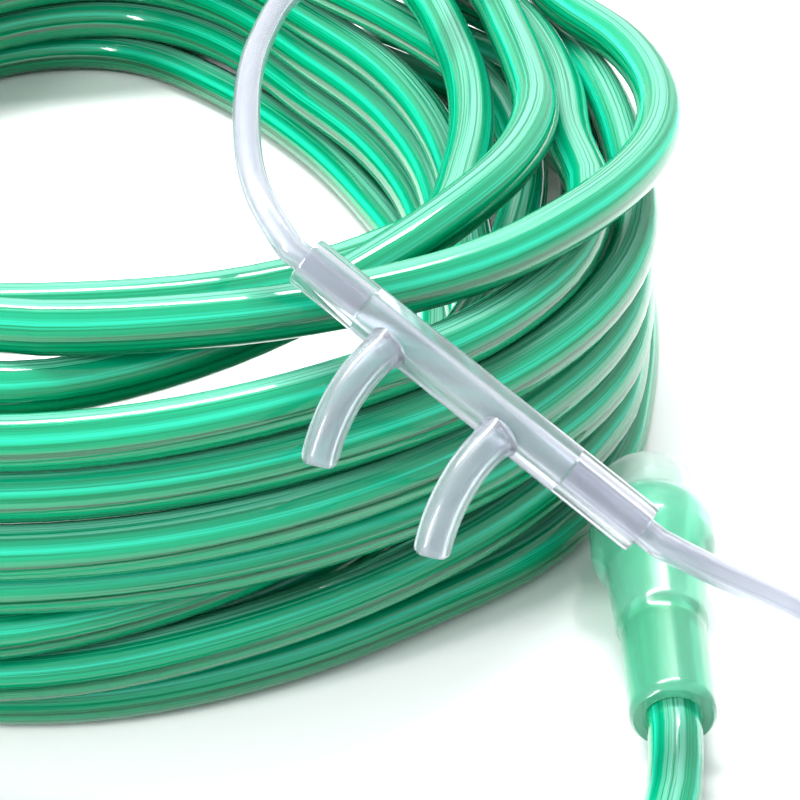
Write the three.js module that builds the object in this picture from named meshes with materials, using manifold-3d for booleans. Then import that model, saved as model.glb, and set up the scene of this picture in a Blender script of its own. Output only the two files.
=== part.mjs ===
// A nasal oxygen cannula laid down as a loose coil: a soft nosepiece with two curved prongs,
// a thin tube from each of its ends, an oval slide on the two thin tubes, the Y connector that
// joins them, one long green supply tube wound into a coil, and the flared oxygen connector.
// Millimetres, +Z up, the floor is z = 0. The origin is below the middle of the four fittings.

import * as THREE from 'three';
import { mergeVertices } from 'three/addons/utils/BufferGeometryUtils.js';
import { ConvexGeometry } from 'three/addons/geometries/ConvexGeometry.js';
import Module from 'manifold-3d';

const wasm = await Module();
wasm.setup();

// General clearances
const seatGap = 0.3;             // between pieces that touch
const tubeGap = 0.3;             // all round a tube in its socket
const slideGap = 0.35;           // all round the thin tubes in the slide

// Tubes
const thinTubeDiameter = 3.2;    // the two tubes between nosepiece and Y connector
const thinTubeBore = 1.8;
const supplyTubeDiameter = 6.2;  // the green tube
const tubeSides = 8;
const straightOut = 2;           // of each tube where it leaves a socket

// Nosepiece, along its own X axis from the left end to the right end
const noseDiameter = 5.8;
const noseLength = 46.4;
const noseChannel = 2.6;         // bore between the sockets
const noseEdge = 0.35;
const leftSocketDepth = 8.3;
const rightSocketDepth = 10.2;
const leftEndToProng = 13.5;
const prongPitch = 15.2;
const prongDiameter = 4.3;       // at the root
const prongTipDiameter = 4.0;
const prongBore = 2.4;
const prongReach = 15.6;         // along its curve from the nosepiece's axis
const prongBendRadius = 16.5;
const prongLip = 0.75;           // rounding of the tip
const nosePlace = [60.64, -36.81, 40.61];  // middle of its axis
const noseYaw = -26.6;
const noseDip = 29.4;
const noseRoll = 8.5;

// Y connector, along its own X axis from the thin tubes to the supply tube
const thinTubePitch = 3.9;       // between the two thin tubes, side by side
const yLength = 22;
const ySocketWall = 1.05;
const yFlatLength = 9.5;
const ySupplyLength = 11;
const yThinDepth = 8;
const ySupplyDepth = 8.5;
const yChannel = 2.0;
const ySupplyWall = 1.2;
const yPlace = [-48.65, 26.6];   // middle of its mouth for the thin tubes
const yTurn = -90;

// Slide
const slideLength = 12;
const slideWall = 1.1;
const slideBevel = 0.5;
const slidePlaceY = 44;

// Oxygen connector, along its own Y axis from the collar to the cup
const collarDiameter = 9.8;
const collarDepth = 14;
const throatDiameter = 4.6;
const shoulderDiameter = 12.1;   // where the taper ends
const bulgeDiameter = 15;
const cupDiameter = 11.6;
const cupMouthBore = 9.6;
const taperLength = 10.5;
const bulgeLength = 9.5;
const cupLength = 6;
const throatLength = 2.5;
const cupRootBore = 6.8;
const connectorPlace = [83.3, -48];
const connectorTilt = 5.54;      // it rests on its collar and on its bulge

// Moves all of it so that the origin is below the middle of the four fittings
const laidPlace = [-18.57, -0.15];

// Coil of the supply tube
const coilCentre = [7, 51.9];
const coilStretch = 1.2;         // it is an oval, this much longer along Y than across
const coilBore = 104;            // this and the next four are across its shorter way
const coilDiameter = 168.8;      // over its lowest turn
const coilToeDiameter = 161;     // just above that turn
const coilWaistDiameter = 158;   // where the upper outer edge starts to slope in
const coilTopDiameter = 149;
const coilToeHeight = 8;
const coilWaistHeight = 34;
const coilHeight = 48.6;
const coilSteps = 44;
const turnValley = 1.2;          // how far the grooves between the turns reach in

const degrees = Math.PI / 180;
const green = { color: 0x00b184, roughness: 0.3, metalness: 0 };
const clear = { color: 0xd9e1e2, roughness: 0.35, metalness: 0 };
const paleGreen = { color: 0x35c79b, roughness: 0.35, metalness: 0 };

function solidOf(geometry) {
  const plain = geometry.clone();
  plain.deleteAttribute('normal');
  plain.deleteAttribute('uv');
  const welded = mergeVertices(plain, 1e-4);
  return new wasm.Manifold(new wasm.Mesh({
    numProp: 3,
    vertProperties: new Float32Array(welded.attributes.position.array),
    triVerts: new Uint32Array(welded.index.array),
  }));
}

function geometryOf(solid) {
  const mesh = solid.getMesh();
  const geometry = new THREE.BufferGeometry();
  geometry.setAttribute('position', new THREE.BufferAttribute(new Float32Array(mesh.vertProperties), 3));
  geometry.setIndex(new THREE.BufferAttribute(new Uint32Array(mesh.triVerts), 1));
  return geometry;
}

function lathe(profile, sides) {
  return new THREE.LatheGeometry(profile.map(([r, y]) => new THREE.Vector2(r, y)), sides);
}

// A round rod along +X from one place to another
function rodAlongX(radius, from, to, sides, y = 0) {
  const rod = lathe([[0, from], [radius, from], [radius, to], [0, to]], sides);
  rod.rotateZ(-90 * degrees);
  rod.translate(0, y, 0);
  return rod;
}

// Bends a rod that stands along +Y towards -Z, on an arc that starts at y = 0
function bend(geometry, radius) {
  const place = geometry.attributes.position;
  for (let i = 0; i < place.count; i += 1) {
    const turn = Math.max(place.getY(i), 0) / radius;
    const out = radius + place.getZ(i);
    const before = Math.min(place.getY(i), 0);
    place.setY(i, before + out * Math.sin(turn));
    place.setZ(i, out * Math.cos(turn) - radius);
  }
  return geometry;
}

// An oval of two half circles side by side, across X and Z, for a pair of tubes
function pairOutline(radius, pitch, steps = 10) {
  const points = [];
  for (const side of [1, -1]) {
    for (let i = 0; i <= steps; i += 1) {
      const angle = (i / steps - 0.5) * Math.PI;
      points.push(new THREE.Vector2(
        side * (pitch / 2 + radius * Math.cos(angle)),
        side * radius * Math.sin(angle),
      ));
    }
  }
  return points;
}

function pairRod(radius, pitch, from, to) {
  const rod = new THREE.ExtrudeGeometry(new THREE.Shape(pairOutline(radius, pitch)), {
    depth: to - from, bevelEnabled: false,
  });
  rod.applyMatrix4(new THREE.Matrix4().makeBasis(
    new THREE.Vector3(0, 1, 0), new THREE.Vector3(0, 0, 1), new THREE.Vector3(1, 0, 0)));
  rod.translate(from, 0, 0);
  return rod;
}

function tubeAlong(points, diameter, steps) {
  const outline = [];
  for (let i = 0; i < tubeSides; i += 1) {
    const angle = (i + 0.5) / tubeSides * 2 * Math.PI;
    outline.push(new THREE.Vector2(Math.cos(angle), Math.sin(angle)).multiplyScalar(diameter / 2));
  }
  return new THREE.ExtrudeGeometry(new THREE.Shape(outline), {
    steps, bevelEnabled: false,
    extrudePath: new THREE.CatmullRomCurve3(points, false, 'centripetal'),
  });
}

function nosepieceGeometry() {
  const radius = noseDiameter / 2;
  const body = lathe([
    [0, 0], [radius - noseEdge, 0], [radius, noseEdge],
    [radius, noseLength - noseEdge], [radius - noseEdge, noseLength], [0, noseLength],
  ], 28);
  body.rotateZ(-90 * degrees);
  const bodySolid = solidOf(body);
  const prongSteps = 8;
  const root = prongDiameter / 2;
  const tip = prongTipDiameter / 2;
  const profile = [[0, 0]];
  for (let i = 0; i <= prongSteps; i += 1) {
    const share = i / prongSteps;
    profile.push([root + (tip - root) * share, (prongReach - prongLip) * share]);
  }
  profile.push([tip - 0.3 * prongLip, prongReach - 0.3 * prongLip]);
  profile.push([tip - prongLip, prongReach]);
  profile.push([0, prongReach]);
  const boreProfile = [[0, 0]];
  for (let i = 0; i <= prongSteps; i += 1) {
    boreProfile.push([prongBore / 2, (prongReach + 1) * i / prongSteps]);
  }
  boreProfile.push([0, prongReach + 1]);
  const placeProng = (geometry, x) => {
    bend(geometry, prongBendRadius);
    geometry.rotateZ(Math.PI);
    geometry.translate(x, 0, 0);
    return solidOf(geometry);
  };
  const prongs = [leftEndToProng, leftEndToProng + prongPitch];
  let solid = bodySolid;
  for (const x of prongs) solid = solid.add(placeProng(lathe(profile, 20), x));
  const socket = thinTubeDiameter / 2 + tubeGap;
  solid = solid.subtract(solidOf(rodAlongX(socket, -1, leftSocketDepth, 24)));
  solid = solid.subtract(solidOf(rodAlongX(socket, noseLength - rightSocketDepth, noseLength + 1, 24)));
  solid = solid.subtract(solidOf(rodAlongX(
    noseChannel / 2, leftSocketDepth - 1, noseLength - rightSocketDepth + 1, 20)));
  for (const x of prongs) solid = solid.subtract(placeProng(lathe(boreProfile, 16), x));
  const geometry = geometryOf(solid);
  geometry.translate(-noseLength / 2, 0, 0);
  return geometry;
}

const pairRadius = thinTubeDiameter / 2 + tubeGap;

function yConnectorGeometry() {
  const outerPair = pairRadius + ySocketWall;
  const supplyBore = supplyTubeDiameter / 2 + tubeGap;
  const supplyRadius = supplyBore + ySupplyWall;
  const taperPoints = [];
  for (const p of pairOutline(outerPair, thinTubePitch)) {
    taperPoints.push(new THREE.Vector3(yFlatLength - 1, p.x, p.y));
  }
  for (let i = 0; i < 28; i += 1) {
    const angle = i / 28 * 2 * Math.PI;
    taperPoints.push(new THREE.Vector3(
      yLength - ySupplyLength + 1, supplyRadius * Math.cos(angle), supplyRadius * Math.sin(angle)));
  }
  let solid = solidOf(pairRod(outerPair, thinTubePitch, 0, yFlatLength));
  solid = solid.add(solidOf(new ConvexGeometry(taperPoints)));
  solid = solid.add(solidOf(rodAlongX(supplyRadius, yLength - ySupplyLength, yLength, 28)));
  solid = solid.subtract(solidOf(rodAlongX(supplyBore, yLength - ySupplyDepth, yLength + 1, 24)));
  for (const side of [1, -1]) {
    const y = side * thinTubePitch / 2;
    solid = solid.subtract(solidOf(rodAlongX(pairRadius - 0.05, -1, yThinDepth, 20, y)));
    solid = solid.subtract(solidOf(rodAlongX(
      yChannel / 2, yThinDepth - 1, yLength - ySupplyDepth + 1, 12, y)));
  }
  return geometryOf(solid);
}

function slideGeometry() {
  const bore = thinTubeDiameter / 2 + slideGap;
  const outer = new THREE.Shape(pairOutline(bore + slideWall - slideBevel, thinTubePitch));
  const body = new THREE.ExtrudeGeometry(outer, {
    depth: slideLength - 2 * slideBevel, bevelEnabled: true,
    bevelThickness: slideBevel, bevelSize: slideBevel, bevelSegments: 2,
  });
  body.applyMatrix4(new THREE.Matrix4().makeBasis(
    new THREE.Vector3(0, 1, 0), new THREE.Vector3(0, 0, 1), new THREE.Vector3(1, 0, 0)));
  body.translate(-slideLength / 2 + slideBevel, 0, 0);
  const hole = pairRod(bore, thinTubePitch, -slideLength / 2 - 1, slideLength / 2 + 1);
  return geometryOf(solidOf(body).subtract(solidOf(hole)));
}

const taperEnd = collarDepth + taperLength;
const bulgeEnd = taperEnd + bulgeLength;
const connectorLength = bulgeEnd + cupLength;

function oxygenConnectorGeometry() {
  const collar = collarDiameter / 2;
  const shoulder = shoulderDiameter / 2;
  const bulge = bulgeDiameter / 2;
  const cup = cupDiameter / 2;
  const bore = supplyTubeDiameter / 2 + tubeGap;
  const throat = throatDiameter / 2;
  return lathe([
    [bore, 0], [collar - 0.4, 0], [collar, 0.5], [collar + 0.15, collarDepth],
    [shoulder, taperEnd], [bulge - 0.7, taperEnd + 0.9], [bulge, taperEnd + 2.8],
    [bulge, bulgeEnd - 3], [bulge - 0.6, bulgeEnd - 1], [cup + 0.3, bulgeEnd],
    [cup, connectorLength - 0.4], [cup - 0.3, connectorLength],
    [cupMouthBore / 2, connectorLength], [cupRootBore / 2, collarDepth + throatLength],
    [throat, collarDepth + throatLength], [throat, collarDepth], [bore, collarDepth], [bore, 0],
  ], 32);
}

// The coil's outer shape: an oval ring with a flat foot, grooved where its turns lie side by side
function coilGeometry() {
  const bore = coilBore / 2;
  const corners = [
    [coilDiameter / 2, 0], [coilToeDiameter / 2, coilToeHeight],
    [coilWaistDiameter / 2, coilWaistHeight], [coilTopDiameter / 2, coilHeight],
    [bore, coilHeight], [bore, 0],
  ];
  const profile = [];
  for (let side = 0; side < corners.length - 1; side += 1) {
    const start = new THREE.Vector2(...corners[side]);
    const end = new THREE.Vector2(...corners[side + 1]);
    const along = end.clone().sub(start);
    const turns = Math.round(along.length() / supplyTubeDiameter);
    const inwards = new THREE.Vector2(-along.y, along.x).normalize().multiplyScalar(turnValley);
    for (let i = 0; i < turns; i += 1) {
      const valley = start.clone().addScaledVector(along, i / turns);
      if (i > 0) valley.add(inwards);
      profile.push([valley.x, valley.y]);
      const crest = start.clone().addScaledVector(along, (i + 0.5) / turns);
      profile.push([crest.x, crest.y]);
    }
  }
  profile.push(corners.at(-1), corners[0]);
  const ring = lathe(profile, coilSteps);
  ring.rotateX(90 * degrees);
  ring.scale(1, coilStretch, 1);
  return ring;
}

function meshOf(name, geometry, look) {
  const mesh = new THREE.Mesh(geometry, new THREE.MeshStandardMaterial(look));
  mesh.name = name;
  return mesh;
}

// Fittings in their places
const laid = new THREE.Group();

const nosepiece = meshOf('nosepiece', nosepieceGeometry(), clear);
nosepiece.rotation.set(noseRoll * degrees, noseDip * degrees, noseYaw * degrees, 'ZYX');
nosepiece.position.set(...nosePlace);

const fittingHeight = coilHeight + seatGap + supplyTubeDiameter / 2 + tubeGap + ySupplyWall;
const yConnector = meshOf('y_connector', yConnectorGeometry(), clear);
yConnector.rotation.z = yTurn * degrees;
yConnector.position.set(...yPlace, fittingHeight);

const slide = meshOf('slide', slideGeometry(), clear);
slide.rotation.z = yTurn * degrees;
slide.position.set(yPlace[0], slidePlaceY, fittingHeight);

const oxygenConnector = meshOf('oxygen_connector', oxygenConnectorGeometry(), paleGreen);
oxygenConnector.rotation.x = connectorTilt * degrees;
oxygenConnector.position.set(...connectorPlace, 0);
oxygenConnector.updateMatrixWorld();
oxygenConnector.position.z = -new THREE.Box3().setFromObject(oxygenConnector, true).min.z;

const supplyCoil = meshOf('supply_coil', coilGeometry(), green);
supplyCoil.position.set(...coilCentre, 0);

for (const piece of [nosepiece, yConnector, slide, oxygenConnector, supplyCoil]) {
  laid.add(piece);
}
laid.updateMatrixWorld(true);

const points = (list) => list.map((p) => new THREE.Vector3(...p));
const at = (piece, x, y, z) => piece.localToWorld(new THREE.Vector3(x, y, z));

// The tubes' routes. Each starts and ends in its fitting's socket.
const leftRoute = [
  at(nosepiece, -noseLength / 2 + leftSocketDepth - seatGap, 0, 0),
  at(nosepiece, -noseLength / 2, 0, 0),
  at(nosepiece, -noseLength / 2 - straightOut, 0, 0),
  ...points([
    [39.3, -25.6, 54.1], [37.7, -22.6, 55.4], [36.4, -18.0, 56.5], [35.4, -9.0, 57.4],
    [34.9, 2.0, 57.6], [35.0, 12.2, 57.0], [36.2, 25.7, 55.5], [37.4, 35.8, 54.5],
    [45.0, 50.0, 54.0], [56.0, 61.0, 52.5], [64.0, 74.0, 51.0], [67.5, 88.0, 50.6],
    [64.0, 102.0, 50.6], [54.5, 115.0, 50.6], [41.0, 126.0, 50.6], [25.0, 132.5, 50.6],
    [7.0, 135.0, 50.6], [-10.0, 133.0, 50.6], [-26.0, 127.0, 50.6], [-39.5, 116.5, 50.6],
    [-47.5, 104.0, 50.6], [-50.0, 92.0, 51.2], [-48.2, 82.0, 52.5],
    [-46.7, 73.0, fittingHeight], [-46.7, 50.0, fittingHeight],
  ]),
  at(yConnector, 0, thinTubePitch / 2, 0),
  at(yConnector, yThinDepth - seatGap, thinTubePitch / 2, 0),
];

const rightRoute = [
  at(nosepiece, noseLength / 2 - rightSocketDepth + seatGap, 0, 0),
  at(nosepiece, noseLength / 2, 0, 0),
  at(nosepiece, noseLength / 2 + straightOut, 0, 0),
  ...points([
    [84.1, -45.4, 25.0], [87.7, -43.8, 21.8], [92.9, -40.6, 17.0],
    [98.1, -37.8, 12.3], [102.8, -36.7, 8.0], [107.3, -38.4, 4.2], [110.8, -42.9, 2.2],
    [112.3, -49.4, 1.9], [111.3, -57.4, 1.9], [106.8, -64.9, 2.1], [98.8, -69.9, 3.9],
    [87.8, -71.4, 8.2], [80.3, -70.9, 9.3], [73.3, -69.7, 8.5], [62.8, -67.7, 3.6],
    [52.8, -65.9, 2.0], [38.8, -63.9, 1.9], [24.8, -62.9, 1.9], [10.8, -61.9, 1.9],
    [-7.2, -56.0, 1.9], [-21.2, -49.9, 3.5], [-33.4, -39.2, 9.0], [-43.6, -28.6, 17.0],
    [-52.3, -16.9, 26.0], [-60.6, -2.8, 35.0], [-65.6, 13.6, 45.0], [-65.4, 26.0, 51.0],
    [-63.8, 36.0, 51.3], [-63.3, 46.0, 51.5], [-62.6, 55.0, 52.3], [-60.3, 63.0, 53.0],
    [-56.3, 67.5, 53.2], [-52.3, 65.5, 53.2], [-50.7, 60.5, fittingHeight],
    [-50.6, 52.0, fittingHeight], [-50.6, 40.0, fittingHeight],
  ]),
  at(yConnector, 0, -thinTubePitch / 2, 0),
  at(yConnector, yThinDepth - seatGap, -thinTubePitch / 2, 0),
];

const leadRoute = [
  at(yConnector, yLength - ySupplyDepth + seatGap, 0, 0),
  at(yConnector, yLength, 0, 0),
  at(yConnector, yLength + straightOut, 0, 0),
  ...points([
    [-47.6, -3.4, 52.6], [-43.2, -10.6, 52.1], [-36.7, -16.2, 52.0], [-28.2, -20.5, 52.0],
    [-19.2, -23.6, 52.0],
  ]),
];

const tailRoute = [
  ...points([
    [-59.6, -15.1, 3.1], [-55.6, -26.0, 3.1], [-48.2, -37.2, 3.1], [-38.7, -47.0, 3.1],
    [-24.2, -58.9, 3.1], [-7.2, -67.9, 3.1], [10.8, -74.4, 3.1], [28.8, -78.4, 3.1],
    [44.8, -79.9, 3.1], [58.6, -79.4, 3.1], [67.8, -77.6, 3.1], [75.6, -72.4, 3.1],
    [80.8, -64.6, 3.2], [82.8, -56.0, 3.8],
  ]),
  at(oxygenConnector, 0, -straightOut, 0),
  at(oxygenConnector, 0, 0, 0),
  at(oxygenConnector, 0, collarDepth - seatGap, 0),
];

laid.add(meshOf('left_thin_tube', tubeAlong(leftRoute, thinTubeDiameter, 36), clear));
laid.add(meshOf('right_thin_tube', tubeAlong(rightRoute, thinTubeDiameter, 34), clear));
laid.add(meshOf('supply_tube_from_y', tubeAlong(leadRoute, supplyTubeDiameter, 5), green));
laid.add(meshOf('supply_tube_to_connector', tubeAlong(tailRoute, supplyTubeDiameter, 13), green));

const cannula = new THREE.Group();
laid.position.set(...laidPlace, 0);
cannula.add(laid);

export default cannula;
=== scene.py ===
import math
import bpy
import numpy as np
from mathutils import Euler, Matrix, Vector


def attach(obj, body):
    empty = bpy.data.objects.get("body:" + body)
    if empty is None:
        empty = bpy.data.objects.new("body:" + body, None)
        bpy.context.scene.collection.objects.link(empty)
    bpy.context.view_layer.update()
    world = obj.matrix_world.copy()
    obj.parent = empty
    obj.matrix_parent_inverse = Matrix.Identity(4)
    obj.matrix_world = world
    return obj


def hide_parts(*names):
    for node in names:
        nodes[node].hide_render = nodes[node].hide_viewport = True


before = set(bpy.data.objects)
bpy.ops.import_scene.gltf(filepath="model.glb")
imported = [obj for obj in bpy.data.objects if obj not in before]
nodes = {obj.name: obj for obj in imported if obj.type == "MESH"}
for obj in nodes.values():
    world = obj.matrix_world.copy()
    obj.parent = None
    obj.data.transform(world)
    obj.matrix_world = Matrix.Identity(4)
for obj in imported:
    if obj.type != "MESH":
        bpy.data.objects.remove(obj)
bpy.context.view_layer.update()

scene = bpy.context.scene
mm = 0.001                     # all the lengths below are in millimetres

# Camera
camera = {
    "place": (34.23, -253.15, 180.3),
    "downwards": 33.0,         # degrees below the horizon, looking along +Y
    "lens": 108.0,             # on a sensor 36 mm wide
}
cameraData = bpy.data.cameras.new("camera")
cameraData.lens = camera["lens"]
cameraData.sensor_width = 36.0
cameraData.clip_start = 0.01
cameraObject = bpy.data.objects.new("camera", cameraData)
cameraObject.location = [c * mm for c in camera["place"]]
cameraObject.rotation_euler = Euler((math.radians(90.0 - camera["downwards"]), 0, 0))
scene.collection.objects.link(cameraObject)
scene.camera = cameraObject
scene.view_settings.view_transform = "Standard"
print("camera placed")


# Lines
# Cubic pieces through the known values, the slope at each being the mean of its two sides'.
def throughPoints(known, values, at):
    step = np.diff(known)
    rise = np.diff(values, axis=0) / step[:, None]
    inner = (rise[:-1] * step[1:, None] + rise[1:] * step[:-1, None]) / (step[1:] + step[:-1])[:, None]
    slope = np.vstack([rise[:1], inner, rise[-1:]])
    k = np.clip(np.searchsorted(known, at, side="right") - 1, 0, len(known) - 2)
    h = step[k][:, None]
    t = ((at - known[k]) / step[k])[:, None]
    return ((2 * t**3 - 3 * t**2 + 1) * values[k] + (t**3 - 2 * t**2 + t) * h * slope[k]
            + (3 * t**2 - 2 * t**3) * values[k + 1] + (t**3 - t**2) * h * slope[k + 1])


# Length of the line from its start to each of its points.
def distances(line):
    return np.r_[0, np.cumsum(np.linalg.norm(np.diff(line, axis=0), axis=1))]


# The same line with its points a fixed step apart.
def evenly(line, step):
    far = distances(line)
    at = np.linspace(0, far[-1], int(round(far[-1] / step)) + 1)
    return np.column_stack([np.interp(at, far, line[:, k]) for k in range(3)])


# A smooth line through the points, in even steps.
def curveThrough(points, step):
    points = np.array(points, float)
    far = distances(points)
    fine = throughPoints(far, points, np.linspace(0, far[-1], int(far[-1] / 0.4) + 2))
    return evenly(fine, step)


# Each point moved to a quarter, a half and a quarter of itself and its neighbours, ends kept.
def eased(line, passes, kept):
    line = line.copy()
    inside = slice(kept, len(line) - kept)
    for _ in range(passes):
        mean = 0.25 * line[:-2] + 0.5 * line[1:-1] + 0.25 * line[2:]
        line[1:-1][inside] = mean[inside]
    return line


# The vectors made one long.
def shape(vector):
    return vector / np.linalg.norm(vector, axis=-1, keepdims=True)


# Surfaces
# A closed skin: a grid of points that wraps round in both directions, one quad to each cell.
def closedGrid(name, points, marks=None, sharp=40.0):
    m, n = points.shape[:2]
    row = np.arange(m)[:, None]
    column = np.arange(n)[None]
    nextRow, nextColumn = (row + 1) % m, (column + 1) % n
    quads = np.stack([row * n + column, row * n + nextColumn,
                      nextRow * n + nextColumn, nextRow * n + column], -1).reshape(-1, 4)
    flat = points.reshape(-1, 3) * mm
    a, b, c, d = (flat[quads[:, k]] for k in range(4))
    volume = (np.cross(a, b) * c).sum() + (np.cross(a, c) * d).sum()
    if volume < 0:
        quads = quads[:, ::-1]
    mesh = bpy.data.meshes.new(name)
    mesh.from_pydata(flat.tolist(), [], quads.tolist())
    mesh.polygons.foreach_set("use_smooth", np.ones(len(quads), bool))
    mesh.set_sharp_from_angle(angle=math.radians(sharp))
    if marks is not None:
        layer = mesh.attributes.new("tubePlace", "FLOAT_VECTOR", "POINT")
        layer.data.foreach_set("vector", marks.reshape(-1).astype(np.float32))
    mesh.update()
    made = bpy.data.objects.new(name, mesh)
    scene.collection.objects.link(made)
    return made


# A circle carried along the line for the outside and, back again, one for the bore. Point = line +
# radius * (cos a * sideways + sin a * upwards); the bore's radius swings with cos(ribs * a).
def hollowTube(name, line, outer, inner, sides, ribs=0, ribHeight=0.0, reference=(0, 0, 1)):
    ahead = shape(np.gradient(line, axis=0))
    sideways = shape(np.cross(ahead, np.array(reference, float)))
    upwards = np.cross(sideways, ahead)
    a = np.arange(sides) * 2 * np.pi / sides
    ring = np.cos(a)[None, :, None] * sideways[:, None] + np.sin(a)[None, :, None] * upwards[:, None]
    outerRadius = np.broadcast_to(np.asarray(outer, float).reshape(-1, 1, 1), (len(line), 1, 1))
    boreRadius = (inner + ribHeight * np.cos(ribs * a))[None, :, None]
    skin = line[:, None] + ring * outerRadius
    bore = (line[:, None] + ring * boreRadius)[::-1]
    along = distances(line) * mm
    marks = (np.cos(a), np.sin(a), along[:, None])
    place = np.stack([np.broadcast_to(mark, skin.shape[:2]) for mark in marks], -1)
    return closedGrid(name, np.vstack([skin, bore]), np.vstack([place, place[::-1]]))


# A closed outline (distance along the axis, radius) turned about the axis, with a raised seam.
def turned(name, profile, start, axis, side, sides, seam=None):
    profile = np.array(profile, float)
    a = np.arange(sides) * 2 * np.pi / sides
    axis, side = shape(np.array(axis, float)), shape(np.array(side, float))
    third = np.cross(axis, side)
    ring = np.cos(a)[:, None] * side + np.sin(a)[:, None] * third
    radius = np.repeat(profile[:, 1:2], sides, 1)
    if seam:
        off = np.angle(np.exp(1j * (a - math.radians(seam["turn"]))))
        raised = seam["height"] * np.exp(-(off / math.radians(seam["width"])) ** 2)
        radius = radius + np.where(profile[:, 1:2] > seam["above"], raised[None], 0)
    points = np.array(start) + profile[:, :1, None] * axis + radius[..., None] * ring[None]
    return closedGrid(name, points)


# The closed outline with more points on its long sides.
def denser(outline, step):
    outline = np.array(outline, float)
    following = np.roll(outline, -1, 0)
    count = np.maximum(1, np.ceil(np.linalg.norm(following - outline, axis=1) / step).astype(int))
    which = np.repeat(np.arange(len(outline)), count)
    share = (np.arange(count.sum()) - np.repeat(np.cumsum(count) - count, count)) / count[which]
    return outline[which] + (following[which] - outline[which]) * share[:, None]


# Materials
# A screen colour of 0 to 255 as linear light.
def rgb(r, g, b):
    c = np.array([r, g, b]) / 255.0
    return [float(v) for v in np.where(c <= 0.04045, c / 12.92, ((c + 0.055) / 1.055) ** 2.4)] + [1.0]


# A new plastic, with its node tree and its shader.
def newMaterial(name, transmission, roughness, ior=1.5, coat=0.0):
    material = bpy.data.materials.new(name)
    material.use_nodes = True
    tree = material.node_tree
    shader = next(n for n in tree.nodes if n.type == "BSDF_PRINCIPLED")
    shader.inputs["Transmission Weight"].default_value = transmission
    shader.inputs["Roughness"].default_value = roughness
    shader.inputs["IOR"].default_value = ior
    shader.inputs["Coat Weight"].default_value = coat
    shader.inputs["Coat Roughness"].default_value = 0.04
    return material, tree, shader


# A colour ramp with the given (place, colour) stops.
def ramp(tree, stops):
    node = tree.nodes.new("ShaderNodeValToRGB")
    elements = node.color_ramp.elements
    while len(elements) < len(stops):
        elements.new(0.5)
    for element, (place, colour) in zip(elements, stops):
        element.position = place
        element.color = colour
    return node


# Green vinyl: painted highlights and painted shade in bands by height round the tube, fine lines along it
# and slow changes of tone.
def greenTubeMaterial():
    material, tree, shader = newMaterial("green_vinyl", 0.42, 0.12, 1.46, 0.3)
    link = tree.links.new
    place = tree.nodes.new("ShaderNodeAttribute")
    place.attribute_name = "tubePlace"
    split = tree.nodes.new("ShaderNodeSeparateXYZ")
    link(place.outputs["Vector"], split.inputs[0])
    stretch = tree.nodes.new("ShaderNodeMapping")
    stretch.inputs["Scale"].default_value = (7.0, 7.0, 9.0)
    link(place.outputs["Vector"], stretch.inputs["Vector"])
    lines = tree.nodes.new("ShaderNodeTexNoise")
    lines.inputs["Scale"].default_value = 1.6
    lines.inputs["Detail"].default_value = 4.0
    link(stretch.outputs[0], lines.inputs["Vector"])
    height = tree.nodes.new("ShaderNodeMath")
    height.operation = "MULTIPLY_ADD"
    height.inputs[1].default_value = 0.5
    height.inputs[2].default_value = 0.5
    link(split.outputs["Y"], height.inputs[0])
    shifted = tree.nodes.new("ShaderNodeMath")
    shifted.operation = "MULTIPLY_ADD"
    shifted.inputs[1].default_value = 0.22
    link(lines.outputs["Fac"], shifted.inputs[0])
    link(height.outputs[0], shifted.inputs[2])
    lowered = tree.nodes.new("ShaderNodeMath")
    lowered.operation = "SUBTRACT"
    lowered.inputs[1].default_value = 0.11
    link(shifted.outputs[0], lowered.inputs[0])
    # Painted light by height round the tube: painted shade as a dark line at the side, a painted
    # highlight line higher up and a pale painted highlight along the top.
    paintedLightBands = ramp(tree, [
        (0.0, rgb(0, 140, 92)), (0.42, rgb(0, 184, 128)), (0.51, rgb(0, 100, 62)),
        (0.57, rgb(0, 170, 116)), (0.74, rgb(0, 196, 142)), (0.82, rgb(40, 242, 200)),
        (0.88, rgb(0, 180, 130)), (0.95, rgb(0, 176, 128)), (1.0, rgb(118, 208, 180)),
    ])
    link(lowered.outputs[0], paintedLightBands.inputs["Fac"])
    streaks = ramp(tree, [
        (0.0, rgb(110, 140, 130)), (0.42, rgb(170, 195, 185)),
        (0.49, rgb(255, 255, 255)), (1.0, rgb(255, 255, 255)),
    ])
    link(lines.outputs["Fac"], streaks.inputs["Fac"])
    mix = tree.nodes.new("ShaderNodeMix")
    mix.data_type = "RGBA"
    mix.blend_type = "MULTIPLY"
    mix.inputs["Factor"].default_value = 0.7
    link(paintedLightBands.outputs["Color"], mix.inputs["A"])
    link(streaks.outputs["Color"], mix.inputs["B"])
    link(mix.outputs["Result"], shader.inputs["Base Color"])
    return material


# A moulded plastic with a faint cloudiness in its colour and in its polish.
def cloudyMaterial(name, transmission, roughness, light, dark, scale, coat=0.2):
    material, tree, shader = newMaterial(name, transmission, roughness, 1.47, coat)
    link = tree.links.new
    where = tree.nodes.new("ShaderNodeTexCoord")
    cloud = tree.nodes.new("ShaderNodeTexNoise")
    cloud.inputs["Scale"].default_value = scale
    cloud.inputs["Detail"].default_value = 3.0
    link(where.outputs["Object"], cloud.inputs["Vector"])
    colours = ramp(tree, [(0.3, dark), (0.7, light)])
    link(cloud.outputs["Fac"], colours.inputs["Fac"])
    link(colours.outputs["Color"], shader.inputs["Base Color"])
    polish = tree.nodes.new("ShaderNodeMapRange")
    polish.inputs["To Min"].default_value = roughness * 0.8
    polish.inputs["To Max"].default_value = roughness * 1.25
    link(cloud.outputs["Fac"], polish.inputs["Value"])
    link(polish.outputs["Result"], shader.inputs["Roughness"])
    return material


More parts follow.
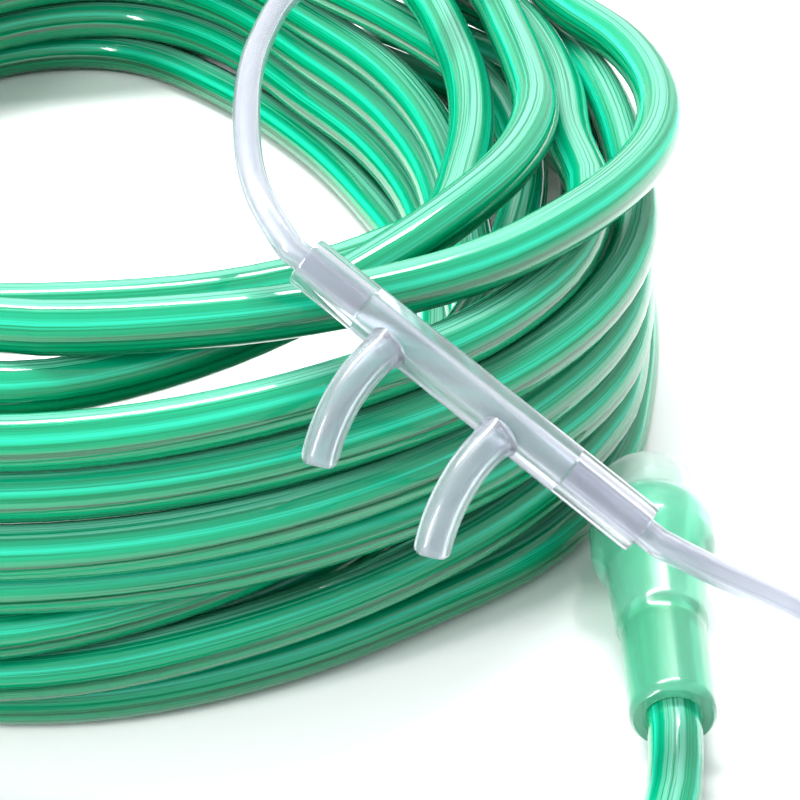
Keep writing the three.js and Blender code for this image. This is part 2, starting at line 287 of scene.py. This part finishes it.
# Replaces the connector's cloudy colour by one along its length: green to the bulge, pale at the rim.
def shadeConnector(material):
    tree = material.node_tree
    where = next(n for n in tree.nodes if n.type == "TEX_COORD")
    split = tree.nodes.new("ShaderNodeSeparateXYZ")
    tree.links.new(where.outputs["Object"], split.inputs[0])
    stretch = tree.nodes.new("ShaderNodeMapRange")
    stretch.inputs["From Min"].default_value = -0.0482     # the collar's mouth
    stretch.inputs["From Max"].default_value = -0.0084     # the cup's rim
    tree.links.new(split.outputs["Y"], stretch.inputs["Value"])
    colours = ramp(tree, [
        (0.0, rgb(120, 215, 180)), (0.34, rgb(110, 212, 172)), (0.37, rgb(150, 230, 200)),
        (0.62, rgb(120, 222, 185)), (0.78, rgb(130, 225, 190)), (0.86, rgb(215, 242, 232)),
        (1.0, rgb(236, 247, 243)),
    ])
    tree.links.new(stretch.outputs["Result"], colours.inputs["Fac"])
    shader = next(n for n in tree.nodes if n.type == "BSDF_PRINCIPLED")
    tree.links.new(colours.outputs["Color"], shader.inputs["Base Color"])


greenVinyl = greenTubeMaterial()
clearVinyl = cloudyMaterial("clear_vinyl", 0.93, 0.05, rgb(240, 242, 248), rgb(226, 229, 238), 90.0)
thinVinyl = cloudyMaterial("thin_tube_vinyl", 0.74, 0.13, rgb(222, 225, 234), rgb(206, 210, 221), 60.0)
frostedVinyl = cloudyMaterial("frosted_vinyl", 0.88, 0.22, rgb(232, 236, 243), rgb(214, 220, 230), 160.0)
paleGreenVinyl = cloudyMaterial("pale_green_vinyl", 0.72, 0.2, rgb(165, 235, 208),
                                rgb(140, 222, 190), 120.0)
shadeConnector(paleGreenVinyl)
print("materials made")


# Nosepiece's place
nosepiece = {
    "centre": (42.07, -36.96, 40.61),
    "axis": (0.7790, -0.3901, -0.4909),      # from the left socket to the right
    "outward": (-0.5077, -0.8518, -0.1288),  # the way the prongs leave it
    "inward": (-0.3679, 0.3496, -0.8616),    # the way the prongs bend
    "length": 46.4,
    "radius": 2.9,
    "socketRadius": 1.9,
    "channelRadius": 1.3,
    "socketDepths": (8.3, 10.2),
    "prongs": (-9.7, 5.5),     # along the axis from its centre
    "prongReach": 17.9,
    "prongBend": 16.5,
    "prongLean": 0.28,         # towards the left socket where they leave it
    "prongTurn": 0.58,         # towards the right socket as they bend
    "prongRadii": (2.15, 2.0),
    "prongBore": 1.2,
    "seam": {"turn": 155.0, "height": 0.07, "width": 3.5, "above": 2.5},
}
noseCentre = np.array(nosepiece["centre"])
noseAxis, noseOut, noseIn = (shape(np.array(nosepiece[k])) for k in ("axis", "outward", "inward"))


# An arc from the nosepiece's axis: root + R sin(s / R) * away + R (1 - cos(s / R)) * bending.
def prongLine(place, start=0.0, count=40):
    s = np.linspace(start, nosepiece["prongReach"], count)[:, None]
    radius = nosepiece["prongBend"]
    root = noseCentre + noseAxis * place
    away = shape(noseOut - noseAxis * nosepiece["prongLean"])
    bending = noseIn * 0.6 + noseAxis * nosepiece["prongTurn"]
    bending = shape(bending - away * (bending @ away))
    return root + away * radius * np.sin(s / radius) + bending * radius * (1 - np.cos(s / radius))


# Connector's place
oxygenConnector = {
    "mouth": (64.73, -48.15, 4.829),
    "axis": (0.0, 0.99533, 0.09654),
    # distance from the collar's mouth and radius, round the whole outline
    "outline": [(0.5, 4.9), (14.0, 5.05), (14.6, 5.35), (24.5, 6.05), (25.4, 6.8), (27.3, 7.5), (31, 7.5),
                (33, 6.9), (34, 6.1), (39.6, 5.8), (40, 5.5), (40, 4.8), (16.5, 3.4),
                (16.5, 2.3), (14, 2.3), (14, 3.4), (0, 3.4), (0, 4.5)],
}

# Cords
thinTube = {
    "diameter": 3.2,
    "bore": 1.8,
    "step": 2.0,
    "easing": 12,              # passes that take the corners out of the route
    "sides": 20,
}
leftThinTube = {
    "kept": 5,                 # points at each end that easing leaves
    "route": [
        (30.23, -31.03, 48.07), (24.0, -27.91, 52.0), (22.44, -27.13, 52.98), (20.73, -25.75, 54.1),
        (19.13, -22.75, 55.4), (17.83, -18.15, 56.5), (16.83, -9.15, 57.4), (16.33, 1.85, 57.6),
        (16.43, 12.05, 57), (17.63, 25.55, 55.5), (18.83, 35.65, 54.5), (26.43, 49.85, 54),
        (37.43, 60.85, 52.5), (45.43, 73.85, 51), (48.93, 87.85, 50.6), (45.43, 101.85, 50.6),
        (35.93, 114.85, 50.6), (22.43, 125.85, 50.6), (6.43, 132.35, 50.6), (-11.57, 134.85, 50.6),
        (-28.57, 132.85, 50.6), (-44.57, 126.85, 50.6), (-58.07, 116.35, 50.6), (-66.07, 103.85, 50.6),
        (-68.57, 91.85, 51.2), (-66.77, 81.85, 52.5), (-65.27, 72.85, 53.5), (-65.27, 49.85, 53.5),
        (-65.27, 26.45, 53.5), (-65.27, 18.75, 53.5),
    ],
}
rightThinTube = {
    "kept": 6,
    "route": [
        (52.43, -42.15, 34.08), (60.14, -46.01, 29.22), (61.7, -46.79, 28.24), (65.53, -45.55, 25),
        (69.13, -43.95, 21.8), (74.33, -40.75, 17), (79.53, -37.95, 12.3), (84.23, -36.85, 8),
        (88.73, -38.55, 4.2), (92.23, -43.05, 2.2), (93.3, -49.55, 1.9), (92.4, -57.55, 1.9),
        (88.23, -65.05, 2.1), (80.23, -70.05, 3.9), (69.23, -71.55, 8.2), (61.73, -71.05, 9.3),
        (54.73, -69.85, 8.5), (44.23, -67.85, 3.6), (34.23, -66.05, 2), (20.23, -64.05, 1.9),
        (6.23, -63.05, 1.9), (-7.77, -62.05, 1.9), (-25.77, -56.15, 1.9), (-39.77, -50.05, 3.5),
        (-51.97, -39.35, 9), (-62.17, -28.75, 17), (-70.87, -17.05, 26), (-79.17, -2.95, 35),
        (-84.17, 13.45, 45), (-83.97, 25.85, 51), (-82.37, 35.85, 51.3), (-81.87, 45.85, 51.5),
        (-81.17, 54.85, 52.3), (-78.87, 62.85, 53), (-74.87, 67.35, 53.2), (-70.87, 65.35, 53.2),
        (-69.27, 60.35, 53.5), (-69.17, 51.85, 53.5), (-69.17, 39.85, 53.5), (-69.17, 26.45, 53.5),
        (-69.17, 18.75, 53.5),
    ],
}
supplyTube = {
    "diameter": 6.2,
    "bore": 3.9,
    "ribs": 5,
    "ribHeight": 0.25,
    "step": 4.2,
    "sides": 22,
    "held": 6,                 # how far into the coil the lead and the tail hold the tube still
    "length": 7500.0,
    "fromY": [
        (-67.22, 12.65, 53.5), (-67.22, 4.45, 53.5), (-67.22, 2.45, 53.5), (-66.17, -3.55, 52.6),
        (-61.77, -10.75, 52.1), (-55.27, -16.35, 52), (-46.77, -20.65, 52),
    ],
    "toConnector": [
        (-78.17, -15.25, 3.1), (-74.17, -26.15, 3.1), (-66.77, -37.35, 3.1), (-57.27, -47.15, 3.1),
        (-42.77, -59.05, 3.1), (-25.77, -68.05, 3.1), (-7.77, -74.55, 3.1), (10.23, -78.55, 3.1),
        (26.23, -79.55, 3.1), (40.03, -79.35, 3.1), (49.23, -77.75, 3.1), (57.03, -72.55, 3.1),
        (62.23, -64.75, 3.2), (64.23, -56.15, 3.8), (64.73, -50.14, 4.64), (64.73, -48.15, 4.829),
        (64.73, -34.51, 6.15),
    ],
    "centre": (-11.57, 51.75),
    "stretch": 1.2,            # of the coil's oval along Y
    # each turn's places: degrees round the coil, radius across its shorter way, height
    "turns": [
        [(-112, 68.1, 51.6), (-100, 69.5, 48.5), (-86, 70.6, 46), (-70.5, 72.1, 45), (-56, 74.4, 43.5),
         (-42.3, 78.5, 42.6), (-28.2, 81.3, 41.8), (-12.6, 81.8, 40.2), (0.5, 77.5, 39.2),
         (9.5, 71.6, 39), (25, 70, 39), (50, 71, 38), (90, 74.5, 39.3)],
        [(-180, 62.5, 33.3), (-145, 73.5, 36.5), (-120, 75.5, 40.5), (-105, 75.2, 41.8),
         (-95, 75.2, 41.6), (-86, 74.2, 41), (-77.5, 70.8, 39.7), (-70, 69, 39.5), (-60, 67.5, 40),
         (-45, 67.5, 42), (-35, 68, 42.8), (-28, 67.5, 42), (-15, 66, 40.8), (-5, 63.5, 39.8),
         (5, 62, 39), (17, 62, 38.5), (50, 65, 38.5), (90, 67.5, 45.3)],
        [(-180, 55, 44.7), (-145, 66.5, 44.5), (-125, 63.5, 42.5), (-110, 60.2, 40.7), (-81, 58.8, 40),
         (-59, 61.7, 39.3), (-44.4, 63.3, 38.4), (-38.7, 63.9, 38), (-25.6, 59.9, 37.3),
         (-13, 56.9, 36.6), (-1.9, 55.2, 36.2), (10, 54.2, 36), (22, 54.6, 36), (50, 57, 37),
         (90, 66.5, 39.3)],
        [(-180, 56.2, 38.8), (-145, 67.5, 38.3), (-115, 76.5, 38.2), (-90, 79.4, 38.3),
         (-60, 80, 37.6), (-45, 81, 37.3), (-34, 80, 37.2), (-22.9, 75.9, 37), (-14.8, 70.6, 36.6),
         (-4.1, 68.2, 36.4), (3.6, 67, 36.2), (14.3, 65.5, 36), (50, 63.5, 32.3), (90, 67.5, 33.3)],
        [(-180, 54.8, 32.8), (-145, 69, 32.5), (-115, 79, 32), (-90, 80.1, 32.4), (-60, 81.5, 32.2),
         (-45, 83, 32.2), (-28, 83.2, 33), (-10, 77, 34), (3, 73.2, 34.3), (14, 71.5, 32),
         (50, 72.5, 30), (90, 73.8, 33.3)],
        [(-180, 63, 27.2), (-145, 74.5, 27.2), (-115, 81, 26.8), (-90, 81.7, 26.6), (-60, 82.8, 26.3),
         (-45, 83.6, 26), (-28, 83.2, 26), (-18, 80, 26.5), (-8, 77.8, 26.5), (10, 77, 26),
         (50, 78, 24), (90, 74.8, 27.2)],
        [(-180, 62.3, 21.2), (-145, 73.5, 21.2), (-115, 80, 20.8), (-90, 80.3, 20.7), (-60, 81.5, 20),
         (-45, 83, 19.5), (-28, 83.4, 19), (-18, 80.5, 19.8), (-8, 78, 20), (10, 77.5, 19.5),
         (50, 79.3, 17.5), (90, 73.8, 21.2)],
        [(-180, 63, 15.2), (-145, 75, 15.2), (-115, 81, 14.9), (-92, 81.2, 14.8), (-75, 78.5, 16),
         (-58, 76.3, 18), (-45, 76, 19.5), (-28, 75, 22), (-8, 71.5, 24.5), (10, 70.5, 23.5),
         (30, 74, 17), (50, 77.5, 11.5), (90, 74.6, 15.2)],
        [(-180, 62.3, 9.2), (-145, 74, 9.2), (-115, 79.5, 8.9), (-92, 80.3, 8.9), (-70, 80.5, 10.2),
         (-55, 82, 11.3), (-45, 83, 11.6), (-28, 83.4, 11.5), (-18, 80.5, 11.8), (-8, 78.3, 12),
         (10, 77, 10.5), (30, 75, 6.5), (50, 73, 5), (90, 73.8, 9.2)],
        [(-180, 62.6, 3.1), (-145, 73.5, 3.3), (-115, 74.5, 12), (-90, 74.5, 21.5), (-60, 73, 24.5),
         (-45, 71.5, 27), (-25, 67, 30), (-8, 63, 30.5), (10, 58, 29.8), (30, 54.2, 28.5),
         (50, 53, 28.3), (90, 67.3, 27.3)],
        [(-180, 56.2, 27), (-145, 67.5, 27), (-115, 71.5, 20), (-90, 74.8, 15.4), (-45, 70, 17),
         (-8, 55, 21.9), (10, 52, 22), (30, 51, 21.9), (50, 52, 21.9), (90, 66.3, 21.2)],
        [(-180, 54.8, 21), (-145, 66, 21), (-115, 71, 13), (-90, 75, 9.3), (-45, 70, 10.5),
         (-8, 53, 15.6), (10, 50.8, 15.7), (30, 50, 15.6), (50, 51.3, 15.6), (90, 67.2, 15.2)],
        [(-180, 56.2, 15), (-145, 67.5, 15), (-115, 68, 11), (-90, 69.2, 9.3), (-45, 63.5, 9.3),
         (-8, 51.5, 9.4), (10, 49.5, 9.4), (30, 48.7, 9.3), (50, 50, 9.3), (90, 66.2, 9.2)],
        [(-180, 54.8, 9.1), (-145, 66, 9.1), (-115, 68, 4.5), (-90, 68.9, 3.1), (-45, 62, 3.1),
         (-8, 50, 3.1), (10, 47.5, 3.1), (25, 46, 3.1), (42, 47, 3.1), (57, 50, 3.1), (73, 56, 3.1),
         (90, 65, 3.1)],
        [(-180, 56, 3.1), (-145, 68, 3.1), (-115, 76.5, 3.1), (-86, 79.1, 3.1), (-66, 79.3, 3.1),
         (-51, 80.7, 3.1), (-43, 82.8, 3.1), (-36, 83.8, 3.1), (-28, 83.6, 3.1), (-18, 81.5, 3.1),
         (-8, 80.3, 3.1), (10, 79.5, 3.1), (50, 79.7, 3.1), (90, 74, 3.1), (135, 74, 3.1),
         (180, 79, 3.1), (205, 83.5, 3.1), (220, 86.9, 3.1)],
    ],
}


# Point = centre + (r cos a, stretch * r sin a) at its height, r and the height by the angle a.
def coilLine(tube):
    stops = np.array([(a + 360 * k, r, z) for k, turn in enumerate(tube["turns"]) for a, r, z in turn])
    at = np.arange(stops[0, 0], stops[-1, 0], 3.0)
    rz = throughPoints(stops[:, 0], stops[:, 1:], at)
    a = np.radians(at)
    centre = tube["centre"]
    return np.column_stack([centre[0] + rz[:, 0] * np.cos(a),
                            centre[1] + tube["stretch"] * rz[:, 0] * np.sin(a), rz[:, 1]])


# Pushes the line's points off each other's segments and off the other pieces' points, each by how
# far it is inside, while a weak spring pulls it home; the moves are smoothed.
def settled(line, free, others, radii, tubeRadius, rounds=240, spring=0.03):
    home, p = line.copy(), line.copy()
    for k in range(rounds):
        if k % 12 == 0:
            square = (p**2).sum(1)
            near = square[:, None] + square[None, :-1] - 2 * p @ p[:-1].T
            i, j = np.nonzero(near < 11.0**2)
            apart = (np.abs(i - j) > 6) & (np.abs(i - j - 1) > 6)
            i, j = i[apart], j[apart]
            toOthers = ((p[:, None] - others[None]) ** 2).sum(2)
            oi, oj = np.nonzero(toOthers < (radii + tubeRadius + 4) ** 2)
        move, count = np.zeros_like(p), np.zeros(len(p))
        ab = p[j + 1] - p[j]
        t = np.clip(((p[i] - p[j]) * ab).sum(1) / np.maximum((ab * ab).sum(1), 1e-9), 0, 1)
        gap = p[i] - p[j] - t[:, None] * ab
        far = np.maximum(np.linalg.norm(gap, axis=1), 1e-6)
        over = np.clip(2 * tubeRadius + 0.05 - far, 0, None)
        hit = over > 0
        push = gap[hit] / far[hit, None] * over[hit, None] * 0.5
        w = t[hit]
        np.add.at(move, i[hit], push)
        np.add.at(move, j[hit], -push * (1 - w)[:, None])
        np.add.at(move, j[hit] + 1, -push * w[:, None])
        np.add.at(count, i[hit], 1)
        np.add.at(count, j[hit], 1 - w)
        np.add.at(count, j[hit] + 1, w)
        gap = p[oi] - others[oj]
        far = np.maximum(np.linalg.norm(gap, axis=1), 1e-6)
        over = np.clip(radii[oj] + tubeRadius + 0.25 - far, 0, None)
        hit = over > 0
        np.add.at(move, oi[hit], gap[hit] / far[hit, None] * over[hit, None])
        np.add.at(count, oi[hit], 1)
        move /= np.maximum(count, 1)[:, None] ** 0.7
        pull = spring if k < rounds * 0.7 else spring * 0.1
        p = p + np.where(free, move, 0) + np.where(free, (home - p) * pull, 0)
        moved = p - home
        moved[1:-1] = 0.25 * moved[:-2] + 0.5 * moved[1:-1] + 0.25 * moved[2:]
        p = home + np.where(free, moved, 0)
        p[:, 2] = np.maximum(p[:, 2], tubeRadius)
    return p


# The route of a thin tube as a smooth line.
def thinLine(tube):
    return eased(curveThrough(tube["route"], thinTube["step"]), thinTube["easing"], tube["kept"])


leftLine = thinLine(leftThinTube)
rightLine = thinLine(rightThinTube)
thinRadius = thinTube["diameter"] / 2
rightLine[:, 2] = np.maximum(rightLine[:, 2], thinRadius)
tubeRadius = supplyTube["diameter"] / 2
fromY = curveThrough(supplyTube["fromY"] + [tuple(coilLine(supplyTube)[0])], 2.0)
toConnector = curveThrough([tuple(coilLine(supplyTube)[-1])] + supplyTube["toConnector"], 2.0)
wholeLine = evenly(np.vstack([fromY[:-1], coilLine(supplyTube), toConnector[1:]]), supplyTube["step"])
far = distances(wholeLine)
keptStart = distances(fromY)[-1] - supplyTube["held"]
keptEnd = far[-1] - distances(toConnector)[-1] + supplyTube["held"]
free = ((far > keptStart) & (far < keptEnd))[:, None]
bodyPoints = noseCentre + noseAxis * np.linspace(-23.2, 23.2, 47)[:, None]
prongPoints = np.vstack([prongLine(place, 3.0, 12) for place in nosepiece["prongs"]])
mouth, way = np.array(oxygenConnector["mouth"]), np.array(oxygenConnector["axis"])
cupSteps = np.linspace(0, 40, 41)
cupPoints = mouth + way * cupSteps[:, None]
cupRadii = np.interp(cupSteps, [0, 14, 24.5, 27.3, 31, 34, 40], [4.9, 5.1, 6.1, 7.5, 7.5, 6.1, 5.8])
others = np.vstack([bodyPoints, prongPoints, cupPoints, leftLine, rightLine])
radii = np.concatenate([np.full(len(bodyPoints), 2.9), np.full(len(prongPoints), 2.2), cupRadii,
                        np.full(len(leftLine), thinRadius), np.full(len(rightLine), thinRadius)])
supplyLine = settled(wholeLine, free, others, radii, tubeRadius)
print("supply tube", round(distances(supplyLine)[-1]), "mm", "left", round(distances(leftLine)[-1]),
      "right", round(distances(rightLine)[-1]))

supplyObject = hollowTube("supply_tube", supplyLine, tubeRadius, supplyTube["bore"] / 2,
                          supplyTube["sides"], supplyTube["ribs"], supplyTube["ribHeight"])
leftObject = hollowTube("left_thin_tube_clear", leftLine, thinRadius, thinTube["bore"] / 2,
                        thinTube["sides"])
rightObject = hollowTube("right_thin_tube_clear", rightLine, thinRadius, thinTube["bore"] / 2,
                         thinTube["sides"])
supplyObject.data.materials.append(greenVinyl)
leftObject.data.materials.append(thinVinyl)
rightObject.data.materials.append(thinVinyl)
print("tubes made")

# Nosepiece
half, socketR, channelR = nosepiece["length"] / 2, nosepiece["socketRadius"], nosepiece["channelRadius"]
leftDepth, rightDepth = nosepiece["socketDepths"]
outerR = nosepiece["radius"]
noseOutline = denser([
    (-half, outerR - 0.35), (-half + 0.1, outerR - 0.1), (-half + 0.35, outerR), (half - 0.35, outerR),
    (half - 0.1, outerR - 0.1), (half, outerR - 0.35), (half, socketR), (half - rightDepth, socketR),
    (half - rightDepth, channelR), (-half + leftDepth, channelR), (-half + leftDepth, socketR),
    (-half, socketR),
], 0.9)
noseObject = turned("nosepiece_body", noseOutline, noseCentre, noseAxis, noseOut, 96, nosepiece["seam"])
noseObject.data.materials.append(clearVinyl)
noseObject.data.materials.append(frostedVinyl)
middle = np.empty(len(noseObject.data.polygons) * 3)
noseObject.data.polygons.foreach_get("center", middle)
along = (middle.reshape(-1, 3) / mm - noseCentre) @ noseAxis
frosted = (along > -half + leftDepth) & (along < half - rightDepth)
noseObject.data.polygons.foreach_set("material_index", frosted.astype(np.int32))
prongObjects = []
for side, place in zip(("left", "right"), nosepiece["prongs"]):
    line = prongLine(place, 2.3)
    s = np.linspace(0, 1, len(line))
    root, tip = nosepiece["prongRadii"]
    width = root + (tip - root) * s + 0.35 * np.exp(-s / 0.06)
    width = width - 0.5 * np.clip((s - 0.95) / 0.05, 0, 1) ** 2
    prong = hollowTube(side + "_prong", line, width, nosepiece["prongBore"], 36, reference=noseIn)
    prong.data.materials.append(frostedVinyl)
    prongObjects.append(prong)
print("nosepiece made")

# Connector
connectorObject = turned("oxygen_connector_cup", denser(oxygenConnector["outline"], 1.2), mouth, way,
                         (1, 0, 0), 80)
connectorObject.data.materials.append(paleGreenVinyl)
print("connector made")

for name in ("y_connector", "slide"):
    nodes[name].data.materials.clear()
    nodes[name].data.materials.append(clearVinyl)
    nodes[name].data.polygons.foreach_set("use_smooth", np.ones(len(nodes[name].data.polygons), bool))
    nodes[name].data.set_sharp_from_angle(angle=math.radians(32))

# Frame
for made in (supplyObject, leftObject, rightObject, noseObject, connectorObject, *prongObjects):
    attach(made, "cannula")
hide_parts("supply_coil", "supply_tube_from_y", "supply_tube_to_connector")
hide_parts("left_thin_tube")
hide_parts("right_thin_tube")
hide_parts("nosepiece")
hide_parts("oxygen_connector")
print("frame joined")

# Floor and light
floorMesh = bpy.data.meshes.new("floor")
floorMesh.from_pydata([(-2, -2, 0), (2, -2, 0), (2, 2, 0), (-2, 2, 0)], [], [(0, 1, 2, 3)])
floor = bpy.data.objects.new("floor", floorMesh)
scene.collection.objects.link(floor)
floorMaterial, _, floorShader = newMaterial("floor", 0.0, 0.6)
floorShader.inputs["Base Color"].default_value = (0.94, 0.95, 0.95, 1)
floorMesh.materials.append(floorMaterial)

world = bpy.data.worlds.new("world")
world.use_nodes = True
world.node_tree.nodes["Background"].inputs["Color"].default_value = (0.96, 0.98, 1.0, 1)
world.node_tree.nodes["Background"].inputs["Strength"].default_value = 0.92
scene.world = world


# A soft rectangular lamp, turned to look at a point.
def softbox(name, place, lookAt, size, power):
    data = bpy.data.lights.new(name, "AREA")
    data.shape = "RECTANGLE"
    data.size, data.size_y = [v * mm for v in size]
    data.energy = power
    lamp = bpy.data.objects.new(name, data)
    place, lookAt = np.array(place) * mm, np.array(lookAt) * mm
    lamp.location = place
    lamp.rotation_euler = Vector(lookAt - place).to_track_quat("-Z", "Y").to_euler()
    scene.collection.objects.link(lamp)


softbox("lamp_above", (-60, 260, 620), (0, 20, 0), (620, 110), 9.0)
softbox("lamp_front_left", (-480, -380, 420), (0, 0, 20), (90, 480), 5.0)
print("stage made")
